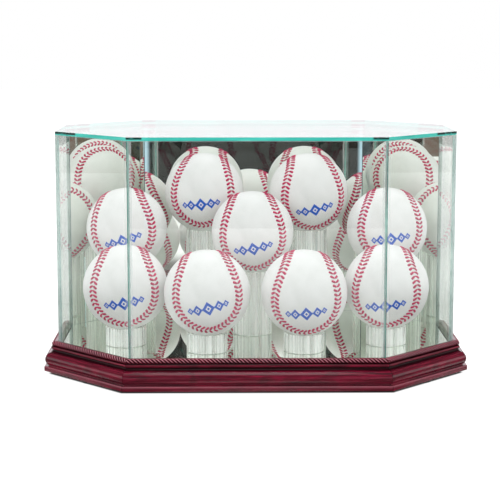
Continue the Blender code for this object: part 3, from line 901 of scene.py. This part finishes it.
def even_seam(count, fine=6000):
    """Directions to points evenly spaced along the seam, each with the way ahead and the way to its left."""
    line = [seam_direction(4 * math.pi * i / fine) for i in range(fine + 1)]
    lengths = [0.0]
    for first, second in zip(line, line[1:]):
        lengths.append(lengths[-1] + (second - first).length)
    frames = []
    i = 0
    for n in range(count):
        target = lengths[-1] * n / count
        while lengths[i + 1] < target:
            i += 1
        share = (target - lengths[i]) / (lengths[i + 1] - lengths[i])
        here = line[i].lerp(line[i + 1], share).normalized()
        ahead = (line[i + 1] - line[i]).normalized()
        ahead = (ahead - here * ahead.dot(here)).normalized()
        frames.append((here, ahead, here.cross(ahead)))
    return frames


def on_ball(place, along, aside, height):
    """Point near the seam: metres ahead of and beside its frame, and above the ball's surface."""
    here, ahead, left = place
    direction = (here + ahead * (along / BALL_RADIUS) + left * (aside / BALL_RADIUS)).normalized()
    return direction * (BALL_RADIUS + height)


def add_welt(bm):
    """The two raised leather lips of the seam, with the narrow joint between them."""
    rows = [(-aside, height) for aside, height in WELT_HALF] + [(0.0, -0.02), *WELT_HALF[::-1]]
    frames = even_seam(STITCHES * 4)
    rings = []
    for i, place in enumerate(frames):
        pinch = 0.5 + 0.5 * math.cos(2 * math.pi * i / 4)
        ring = []
        for aside, height in rows:
            lift = height * (1 - WELT_PINCH * pinch) if height > 0 else height
            ring.append(bm.verts.new(on_ball(place, 0, aside * MM, lift * MM)))
        rings.append(ring)
    for first, second in zip(rings, rings[1:] + rings[:1]):
        for j in range(len(rows) - 1):
            bm.faces.new((first[j], first[j + 1], second[j + 1], second[j]))


def add_stitches(bm, way):
    """Both legs of each stitch: flattened threads that slant back from the joint and sink in at the ends."""
    for place in even_seam(STITCHES):
        for side in (-1, 1):
            rings = []
            for share, aside, height, thick in STITCH_LEG:
                back = way * STITCH_SLANT * share
                middle = on_ball(place, back * MM, side * aside * MM, height * MM)
                up = middle.normalized()
                further, outer = back + way * STITCH_ONWARD[0], side * (aside + STITCH_ONWARD[1])
                onward = on_ball(place, further * MM, outer * MM, height * MM)
                across = up.cross(onward - middle).normalized()
                ring = []
                for point in range(6):
                    angle = math.pi * point / 3
                    raised = THREAD_FLATNESS * thick * math.sin(angle)
                    offset = across * (thick * math.cos(angle)) + up * raised
                    ring.append(bm.verts.new(middle + offset * MM))
                rings.append(ring)
            for first, second in zip(rings, rings[1:]):
                for j in range(6):
                    after = (j + 1) % 6
                    face = bm.faces.new((first[j], first[after], second[after], second[j]))
                    face.material_index = 1
            for cap in (rings[0][::-1], rings[-1]):
                bm.faces.new(cap).material_index = 1


def ball_mesh(way):
    bm = bmesh.new()
    bmesh.ops.create_icosphere(bm, subdivisions=6, radius=BALL_RADIUS)
    add_welt(bm)
    add_stitches(bm, way)
    mesh = to_mesh(bm, "stitched_ball")
    mesh.shade_smooth()
    return mesh


def add_balls(hide, thread):
    meshes = {way: ball_mesh(way) for way in (1, -1)}
    spots = {joint["child"]: joint.get("pos_m") for joint in frame["joints"]}
    for name, (forward, sideways, turn, way) in BALL_TURNS.items():
        piece = new_object("stitched_ball_" + name, meshes[way], (hide, thread), spots["ball_" + name])
        turns = [Matrix.Rotation(math.radians(turn), 3, "Z"), Matrix.Rotation(math.radians(sideways), 3, "Y")]
        turns.append(Matrix.Rotation(math.radians(forward), 3, "X"))
        piece.rotation_euler = (turns[0] @ turns[1] @ turns[2]).to_euler()
        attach(piece, "ball_" + name)
        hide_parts("baseball_" + name)


def add_pads(felt):
    for face in ("front_right", "back_right", "back_left", "front_left"):
        node = "felt_pad_" + face
        low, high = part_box(node)
        radius, tall = (high.x - low.x) / 2, high.z - low.z
        soft = tall * 0.3
        section = [(PAD_CENTRE, 0)] + arc((radius - soft, soft), (soft, soft), 270, 360, 4)
        section += arc((radius - soft, tall - soft), (soft, soft), 0, 90, 4) + [(PAD_CENTRE, tall)]
        mesh = to_mesh(lathe(section, PAD_SIDES), node)
        mesh.shade_smooth()
        mesh.set_sharp_from_angle(angle=TURNED_SHARP)
        spot = ((low.x + high.x) / 2, (low.y + high.y) / 2, low.z)
        piece = new_object("soft_pad_" + face, mesh, (felt,), spot)
        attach(piece, "base")
        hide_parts(node)


def add_table():
    mesh = bpy.data.meshes.new("table")
    front = [(-TABLE_SIDE, TABLE_FRONT, 0), (TABLE_SIDE, TABLE_FRONT, 0)]
    back = [(TABLE_SIDE, TABLE_BACK, 0), (-TABLE_SIDE, TABLE_BACK, 0)]
    mesh.from_pydata(front + back, [], [(0, 1, 2, 3)])
    table = new_object("table", mesh, (table_top(),))


def add_lamp(name, spot, size, power):
    lamp = bpy.data.lights.new(name, "AREA")
    lamp.shape = "RECTANGLE"
    lamp.size, lamp.size_y = size
    lamp.energy = power
    obj = bpy.data.objects.new(name, lamp)
    bpy.context.scene.collection.objects.link(obj)
    obj.location = spot
    obj.rotation_euler = (Vector(LAMP_TARGET) - Vector(spot)).to_track_quat("-Z", "Y").to_euler()
    obj.visible_camera = False
    obj.visible_transmission = False


def add_camera():
    camera = bpy.data.cameras.new("camera")
    camera.sensor_width = 36.0
    camera.lens = CAMERA_LENS
    obj = bpy.data.objects.new("camera", camera)
    obj.location = CAMERA_SPOT
    obj.rotation_euler = [math.radians(angle) for angle in CAMERA_TURN]
    bpy.context.scene.collection.objects.link(obj)
    bpy.context.scene.camera = obj


def set_cycles():
    scene = bpy.context.scene
    scene.view_settings.view_transform = "Standard"
    scene.cycles.max_bounces = 20
    scene.cycles.diffuse_bounces = 4
    scene.cycles.glossy_bounces = 12
    scene.cycles.transmission_bounces = 16
    scene.cycles.transparent_max_bounces = 48


silver, paint = mirror_glass(), mirror_back()
pale_mitre = mitre_edge("pale_mitre", (0.20, 0.32, 0.31), (0.46, 0.60, 0.58), (0.68, 0.80, 0.78), 0.5)
deep_mitre = mitre_edge("deep_mitre", (0.020, 0.12, 0.10), (0.06, 0.33, 0.27), (0.20, 0.58, 0.50), 0.15)
pane_glass = clear_glass("clear_glass", (0.993, 0.999, 0.996))
strip_glass = clear_glass("clear_glass_end", (0.96, 0.98, 0.97), 0.27)
add_panes((pane_glass, strip_glass, pale_mitre, deep_mitre, silver, paint))
add_top(clear_glass("clear_glass_top", (0.993, 0.999, 0.996), most=1.0), cut_edge())
add_floor_mirror(silver, pale_mitre, paint)
add_mouldings(cherry_wood())
add_tubes(clear_acrylic())
add_balls(leather(), red_thread())
add_pads(black_felt())
board = frame["nodes"]["base_board"]
board.data.materials.clear()
board.data.materials.append(fibreboard())

add_table()
set_world()
for softbox in SOFTBOXES:
    add_lamp(*softbox)
add_camera()
set_cycles()
